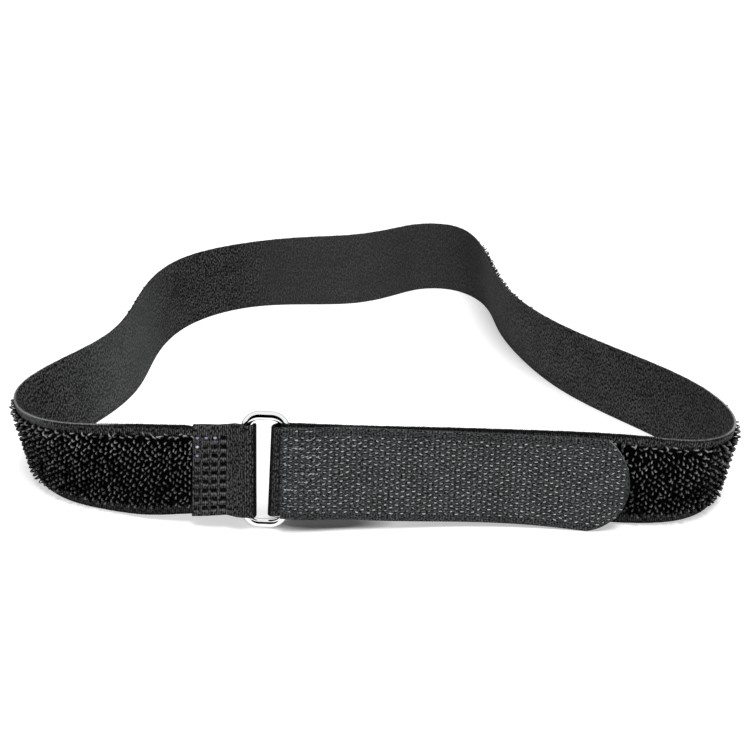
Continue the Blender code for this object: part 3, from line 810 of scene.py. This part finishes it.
def make_flap(material):
    """The tape's folded left end: a half turn round the bar, then a flap welded down in a field of dents.

    On the half turn a point stands on the spoke (sin a, cos a) at the fold's radius. On the flap it stands
    outside the tape by the flap's offset, less the dents. The half turn is painted black where it starts and
    turns away: painted shade.
    """
    step = 0.16 * MM
    turn = np.linspace(0.0, math.pi, 50)
    flat = np.arange(step, FLAP_LENGTH + step / 2, step)
    share, side, edge, girth = web_section([0.0, 0.006], 0.014, 150, 8)
    rolled = 1.0 - 0.5 * smooth_step(1.0 - edge / (0.3 * MM))
    up = share * TAPE_WIDTH

    along_turn = (turn - math.pi) * LEFT_FOLD_RADIUS
    ribs = FLAT_RIB_HEIGHT * ripple(along_turn, RIB_PITCH)[:, None]
    radius = LEFT_FOLD_RADIUS + side * rolled + np.where(side > 0, ribs, 0.0)
    x = DRAWN_FROM[0] - BAR_X + np.sin(turn)[:, None] * radius + lean_with_ring(0.0, up)
    y = DRAWN_FROM[1] + np.cos(turn)[:, None] * radius
    round_bar = smooth_step(1.7 * turn / math.pi)[:, None]
    behind, front = twist_at_bar(0.0, share), flap_spread(0.0, share)
    foot = 0.9 * MM * (1.0 - share) * np.sin(turn)[:, None]
    bent = np.stack([x, y, TAPE_LIFT + up + behind + (front - behind) * round_bar - foot], axis=-1)

    s = flat[:, None]
    dents, toned = (value * (side > 0) for value in dent_field(s, up))
    ribs = FLAT_RIB_HEIGHT * ripple(s, RIB_PITCH)
    swell = 0.10 * MM * smooth_step((s - (FLAP_LENGTH - WELD_LENGTH) + 1.0 * MM) / MM)
    out = side * rolled + np.where(side > 0, ribs + swell - DENT_DEPTH * dents, 0.0)
    end = smooth_step((s - FLAP_LENGTH + 0.35 * MM) / (0.35 * MM))
    out = out * (1.0 - 0.4 * end)
    wavy = 0.03 * MM * drift(s, DENT_PITCH_ALONG, 5.3 * MM) * np.sign(share - 0.5) * (edge < 0.4 * MM)
    laid = TAPE.point(s, up + wavy + flap_spread(s, share), flap_offset(s) + out)

    along = np.concatenate([along_turn, flat])
    places = np.concatenate([bent, laid])
    # Painted shade: black over the first part of the half turn, which turns away
    turned_away_shade = smooth_step((2.50 - turn) / 0.4)[:, None] + np.zeros_like(x)
    tone = np.concatenate([turned_away_shade, toned])
    piece = strip_piece("welded_flap", places, along, girth, material, tone)
    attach(piece, "strap")
    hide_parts("anchor_fold")


def make_bar_fold(material):
    """The tape's half turn round the right bar: (reach sin a, depth cos a), rising as it comes forward.

    Its tone is 0 behind the bar and 1 in front, but for a painted shadow beside the tab: a dark, notched
    band.
    """
    turn = np.linspace(0.0, math.pi, 72)
    share, side, edge, girth = web_section([0.0, 0.012], 0.035, 30, 8)
    a = turn[:, None]
    along = -(math.pi - turn) * (RIGHT_FOLD_DEPTH + RIGHT_FOLD_REACH) / 2
    ribs = np.where(side > 0, 0.04 * MM * ripple(along, RIB_PITCH)[:, None], 0.0)
    depth = side * (1.0 - 0.5 * smooth_step(1.0 - edge / (0.3 * MM))) + ribs
    slant = RIGHT_FOLD_SLANT * (0.5 - share)
    x = DRAWN_FROM[0] + BAR_X - (RIGHT_FOLD_REACH + slant + depth) * np.sin(a)
    x = x + lean_with_ring(0.0, share * TAPE_WIDTH)
    y = DRAWN_FROM[1] + (RIGHT_FOLD_DEPTH + depth) * np.cos(a)
    foot = 1.1 * MM * (1.0 - share) * np.sin(a)
    z = TAPE_LIFT + TAB_RISE_AT_RING * a / math.pi + share * TAPE_WIDTH - foot
    places = np.stack(np.broadcast_arrays(x, y, z), axis=-1)
    # A painted shadow: a dark band with notches where the fold meets the tab
    shadow_notches = 0.6 + 0.4 * ripple(share * TAPE_WIDTH, DENT_PITCH_ACROSS)
    shadow_by_the_tab = smooth_step((along + 1.1 * MM) / (0.4 * MM))[:, None] * shadow_notches
    tone = smooth_step((a - 2.0) / 0.4) * (1.0 - shadow_by_the_tab)
    piece = strip_piece("fold_round_the_bar", places, along, girth, material, tone)
    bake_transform(piece)
    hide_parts("tab_fold")


def make_tape_end(material):
    """The last of the loop tape, welded behind the start of the hook tape."""
    along = np.arange(GAP / 2, WELDED_LAP, 0.2 * MM)
    share, side, _, girth = web_section([0.0, 0.012], 0.04, 16, 8)
    at = along[:, None]
    out = side + 0.04 * MM * np.sign(side) * ripple(at, RIB_PITCH)
    places = tab_point(at, share * TAPE_WIDTH, out)
    piece = strip_piece("tape_end_behind_the_tab", places, along, girth, material, 1.0)
    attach(piece, "tab")
    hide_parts("tape_end")


def weave_relief(reach, up):
    """The hook tape's outer relief, from 0 to 1: ribs on the margins, and between them staggered floats,
    1/2 + 1/2 cos(2 pi reach / pitch along) cos(2 pi up / pitch across)."""
    a, b = reach / STITCH_PITCH_ALONG, up / STITCH_PITCH_ACROSS
    floats = 0.5 + 0.5 * np.cos(2 * math.pi * a) * np.cos(2 * math.pi * b)
    edge = TAB_WIDTH / 2 - np.abs(up - TAPE_WIDTH / 2)
    margin = smooth_step((MARGIN + 0.3 * MM - edge) / (0.5 * MM))
    return floats * (1.0 - margin) + ripple(reach, TAB_RIB_PITCH) * margin


def make_hook_web(material):
    """The hook tape's woven ground, with its rounded tip, whose cut edge is worn pale."""
    tip_start = TAB_REACH - TIP_DEPTH_LOWER
    straight = np.arange(-TAB_LAP, tip_start, 0.19 * MM)
    tip = TAB_REACH - TIP_DEPTH_LOWER * (1.0 - np.sin(np.linspace(0.0, math.radians(87.0), 90)))
    along = np.concatenate([straight, tip])
    shares = np.concatenate([[-1.0, -0.99], np.linspace(-0.975, 0.975, 128), [0.99, 1.0]])
    at = along[:, None]
    back = np.linspace(1.0, -1.0, 12)
    half_width = tab_half_width(at, shares)
    up_out = TAPE_WIDTH / 2 + half_width * shares
    up_in = TAPE_WIDTH / 2 + tab_half_width(at, back) * back
    edge = half_width * (1.0 - np.abs(shares))
    rolled = 0.4 * TAB_THICKNESS * smooth_step(1.0 - edge / (0.3 * MM))
    relief = weave_relief(at, up_out)
    face = TAB_INNER_FACE + TAB_THICKNESS + 0.13 * MM * (relief - 0.5) - rolled
    places = np.concatenate([tab_point(at, up_out, face), tab_point(at, up_in, TAB_INNER_FACE)], axis=1)
    girth = np.concatenate([shares, 2.1 - back, [3.2]]) * TAB_WIDTH / 2
    wear_and_sheen = smooth_step((at - tip_start - 3.0 * MM) / (2.0 * MM)) * (np.abs(shares) > 0.985)
    tone = np.concatenate([relief * (1.0 - wear_and_sheen) + 1.45 * wear_and_sheen, np.full_like(up_in, 0.3)], axis=1)
    piece = strip_piece("hook_tape_web", places, along, girth, material, tone)
    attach(piece, "tab")
    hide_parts("hook_tape_tab")


def stitch_places(first_reach, pitch_along, pitch_across):
    """A lattice on the hook tape: rows half a pitch apart, every other one set along by half a pitch."""
    half_rows = int(TAB_WIDTH / pitch_across)
    rows = np.arange(-half_rows, half_rows + 1)
    columns = np.arange(int(TAB_REACH / pitch_along) + 1)
    row, column = lattice(rows, columns)
    up = TAPE_WIDTH / 2 + row * pitch_across / 2
    reach = first_reach + (column + 0.5 * (row % 2)) * pitch_along
    aside = np.abs(up - TAPE_WIDTH / 2)
    own = (TAB_WIDTH / 2 - aside > MARGIN) & (tab_half_width(reach, row) - aside > 0.5 * MM)
    own = own & (reach < TAB_REACH - 0.7 * MM)
    return reach[own], up[own]


def tab_axes(reach, up, out):
    """Unit vectors on the tab at a reach: along it from the ring, out of it, and up it."""
    small = 0.05 * MM
    here = tab_point(reach, up, out)
    along = unit(tab_point(reach + small, up, out) - here)
    upward = unit(tab_point(reach, up + small, out) - here)
    return along, unit(np.cross(along, upward)), upward


def make_stitches(material):
    """The pale floats of clear thread on the hook tape's outside, each a low arch lying along the tape.

    Over the lap, about half of the places in ten further rows have one too.
    """
    reach, up = stitch_places(0.0, STITCH_PITCH_ALONG, STITCH_PITCH_ACROSS)
    draw = np.random.default_rng(21)
    lap_row, lap_reach = lattice(np.arange(10), np.arange(0.2 * MM, 8.0 * MM, 0.85 * MM))
    chosen = draw.uniform(0.0, 1.0, len(lap_reach)) < 0.5
    lap_up = (TAPE_WIDTH + TAB_WIDTH) / 2 - 0.7 * MM - DENT_PITCH_ACROSS * lap_row
    regular = len(reach)
    reach = np.concatenate([reach, lap_reach[chosen]])
    up = np.concatenate([up, lap_up[chosen]])
    count = len(reach)
    reach = reach + draw.normal(0.0, 0.05 * MM, count)
    up = up + draw.normal(0.0, 0.05 * MM, count)
    face = TAB_INNER_FACE + TAB_THICKNESS
    along, out, upward = tab_axes(reach, up, face)
    slope = draw.normal(0.1, 0.25, count)[:, None]
    lying = unit(along + upward * slope)
    length = 0.66 * MM * draw.uniform(0.75, 1.25, count)
    q = np.linspace(-1.0, 1.0, 5)
    crest = 0.13 * MM * (1.0 - q**2) - 0.05 * MM
    flat = tab_point(reach, up, face)[:, None] + lying[:, None] * (q * length[:, None] / 2)[..., None]
    paths = flat + out[:, None] * crest[:, None]
    on_lap = smooth_step((9.0 * MM - reach) / (2.0 * MM)) * (np.arange(count) < regular)
    tone = draw.uniform(0.2, 1.0, count) ** 1.2 * (1.0 - 0.5 * on_lap)
    radii = 0.14 * MM * np.sqrt(1.0 - 0.55 * q**2)
    piece = thread_piece("pale_stitches", paths, np.cross(lying, out), radii, material, tone, sides=6)
    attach(piece, "tab")


def make_hooks(material):
    """The hooks on the tab's inner face: stems that rise, curl over and point back down.

    A hook's path is up its stem for 0.42 of its height, then round a half circle.
    """
    reach, up = stitch_places(0.6 * MM, HOOK_PITCH_ALONG, HOOK_PITCH_ACROSS)
    own = reach > WELDED_LAP + 1.0 * MM
    reach, up = reach[own], up[own]
    along, out, upward = tab_axes(reach, up, TAB_INNER_FACE)
    draw = np.random.default_rng(4)
    facing = np.where(np.round(up / (HOOK_PITCH_ACROSS / 2)) % 4 < 2, 1.0, -1.0)
    heading = unit(along * facing[:, None] + upward * draw.normal(0.0, 0.25, len(reach))[:, None])
    bend = 0.20 * MM
    stem = HOOK_HEIGHT - bend - 0.09 * MM
    turn = np.radians([0.0, 45.0, 90.0, 135.0, 175.0])
    forward = np.concatenate([[0.0, 0.0], bend * (1.0 - np.cos(turn))])
    rise = np.concatenate([[-0.1 * MM, 0.5 * stem], stem + bend * np.sin(turn)])
    foot = tab_point(reach, up, TAB_INNER_FACE)[:, None]
    paths = foot + heading[:, None] * forward[:, None] - out[:, None] * rise[:, None]
    tone = draw.uniform(0.2, 1.0, len(reach))
    piece = thread_piece("monofilament_hooks", paths, np.cross(heading, out), 0.085 * MM, material, tone)
    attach(piece, "tab")


def make_ring(material):
    """The wire ring: a circle carried round a rectangle whose corners are quarter circles."""
    half_height = RING_HEIGHT / 2 - WIRE_RADIUS - RING_CORNER
    half_width = BAR_X - RING_CORNER
    quarter = np.linspace(0.0, math.pi / 2, 25)
    turns = np.concatenate([quarter + k * math.pi / 2 for k in range(4)])
    side = np.repeat([1, -1, -1, 1], len(quarter))
    end = np.repeat([1, 1, -1, -1], len(quarter))
    around = np.linspace(0.0, 2 * math.pi, 41)[:-1]
    reach = RING_CORNER + WIRE_RADIUS * np.cos(around)
    x = (side * half_width)[:, None] + np.cos(turns)[:, None] * reach
    z = (end * half_height)[:, None] + np.sin(turns)[:, None] * reach
    y = np.broadcast_to(WIRE_RADIUS * np.sin(around), x.shape)
    cosine, sine = math.cos(math.atan(LEAN)), math.sin(math.atan(LEAN))
    places = RING_CENTRE + np.stack([x * cosine + z * sine, y, z * cosine - x * sine], axis=-1)
    index = np.arange(x.size).reshape(x.shape)
    walls = tube_walls(index, np.roll(index, -1, 0))
    piece = put_mesh("wire_ring", places.reshape(-1, 3), [walls], material)
    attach(piece, "ring")
    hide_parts("rectangular_ring")


# ---- studio


def make_world():
    """An even pale sky that lights the strap, and shows as plain white."""
    f = Finish("studio", "worlds", "Background")
    strength = f.scaled(f.seen_directly(), 0.0, 1.0, SKY_LIGHT, 1.0)
    bpy.context.scene.world = f.set(Color=(1.0, 1.0, 1.0, 1.0), Strength=strength)


def flat_piece(name, corners):
    """An object of one flat face, for the studio."""
    mesh = bpy.data.meshes.new(name)
    mesh.from_pydata(np.array(corners).tolist(), [], [range(len(corners))])
    return placed(name, mesh)


def make_floor():
    """A white floor that keeps the strap's shadow: lit white, with a little glow added for the viewer.

    The glow grows to the front and the back, and to the left, where it is painted light that thins the
    strap's shadow. It is held back in one small oval beside the ring and dips a little below zero there, a
    painted
    shadow where the shadow is darkest: (x / reach)^2 + (y / reach)^2 from its middle.
    """
    size = 2.5
    floor = flat_piece("floor", [(-size, -size, 0), (size, -size, 0), (size, size, 0), (-size, size, 0)])
    f = Finish("white_floor")
    floor.data.materials.append(f.owner)
    place = f.object_place()
    grain = f.noise(place, 0.2, 2.0)
    x, y, _ = f.parts(place)
    outwards = f.scaled(f.math("ABSOLUTE", y), 0.1, 0.8, 0.44, 0.7)
    # Painted light to the left, which thins the strap's shadow there
    leftwards = f.scaled(x, -0.02, -0.05, 0.0, 0.1)
    squares = [
        f.math("POWER", f.math("DIVIDE", f.math("SUBTRACT", value, middle), reach), 2.0)
        for value, middle, reach in zip((x, y), SHADOW_PLACE, SHADOW_REACH)
    ]
    # Painted shadow: the glow dips a little below zero inside the oval
    painted_shadow_spot = f.scaled(f.math("ADD", *squares), 0.3, 1.3, -0.10, 1.0)
    glow = f.product(f.seen_directly(), f.math("ADD", outwards, leftwards), painted_shadow_spot)
    f.set(Base_Color=f.mixed(grain, (0.86, 0.86, 0.86, 1), (0.88, 0.88, 0.88, 1)), Roughness=0.9)
    f.set(Emission_Color=(1.0, 1.0, 1.0, 1.0), Emission_Strength=glow, Specular_IOR_Level=0.0)


def make_lamp():
    """A square soft box, aimed at the origin. It skips the wire, whose dark line its glints would break."""
    data = bpy.data.lights.new("soft_box_above", "AREA")
    data.shape = "SQUARE"
    data.size, data.energy = LAMP_SIZE, LAMP_POWER
    lamp = placed("soft_box_above", data)
    lamp.location = LAMP_PLACE
    lamp.rotation_mode = "QUATERNION"
    lamp.rotation_quaternion = (-Vector(LAMP_PLACE)).to_track_quat("-Z", "Y")
    without_glints = bpy.data.collections.new("without_glints")
    without_glints.objects.link(bpy.data.objects["wire_ring"])
    without_glints.collection_objects[0].light_linking.link_state = "EXCLUDE"
    lamp.light_linking.receiver_collection = without_glints


def dark_card(name, corners):
    """A black card that only the polished wire sees: it draws the dark line along it."""
    card = flat_piece(name, corners)
    f = Finish(name)
    card.data.materials.append(f.set(Base_Color=srgb(0, 0, 0), Roughness=1.0, Specular_IOR_Level=0.0))
    card.visible_camera = card.visible_diffuse = card.visible_shadow = False


def make_dark_cards():
    """One oval card stands behind the camera, and one lies on the floor in front of the strap."""
    wide, tall, away, fall = 0.55, 0.46, 0.62, math.radians(19.0)
    turn = np.linspace(0.0, 2.0 * math.pi, 49)[:-1, None]
    middle = RING_CENTRE + away * np.array([0.0, -math.cos(fall), math.sin(fall)])
    sideways = np.array([wide, 0.0, 0.0]) * np.cos(turn)
    upwards = tall * np.array([0.0, math.sin(fall), math.cos(fall)]) * np.sin(turn)
    dark_card("card_behind_the_camera", middle + sideways + upwards)
    side, near, far, lift = 0.5, RING_CENTRE[1] - 0.06, RING_CENTRE[1] - 0.65, 0.2 * MM
    corners = [(-side, far, lift), (side, far, lift), (side, near, lift), (-side, near, lift)]
    dark_card("card_on_the_floor", corners)


def make_camera():
    data = bpy.data.cameras.new("camera")
    data.sensor_width = 36.0
    data.lens = CAMERA_LENS
    data.clip_start, data.clip_end = 0.01, 20.0
    camera = placed("camera", data)
    camera.location = CAMERA_PLACE
    camera.rotation_euler = (math.radians(90.0 - CAMERA_FALL), 0.0, 0.0)
    bpy.context.scene.camera = camera


def main():
    bpy.context.scene.view_settings.view_transform = "Standard"
    make_web(knit_finish("knitted_black", srgb(7, 7, 7), srgb(112, 113, 113)))
    make_pile(pile_finish())
    make_flap(weld_finish())
    folded = knit_finish("folded_black", srgb(14, 14, 14), srgb(98, 98, 98))
    make_bar_fold(folded)
    make_tape_end(folded)
    make_hook_web(hook_web_finish())
    make_stitches(clear_thread_finish("pale_thread", srgb(90, 92, 94), srgb(226, 228, 230), 0.4))
    make_hooks(clear_thread_finish("hook_thread", srgb(44, 45, 48), srgb(140, 141, 144), 0.35))
    make_ring(chrome_finish())
    make_world()
    make_floor()
    make_lamp()
    make_dark_cards()
    make_camera()


main()
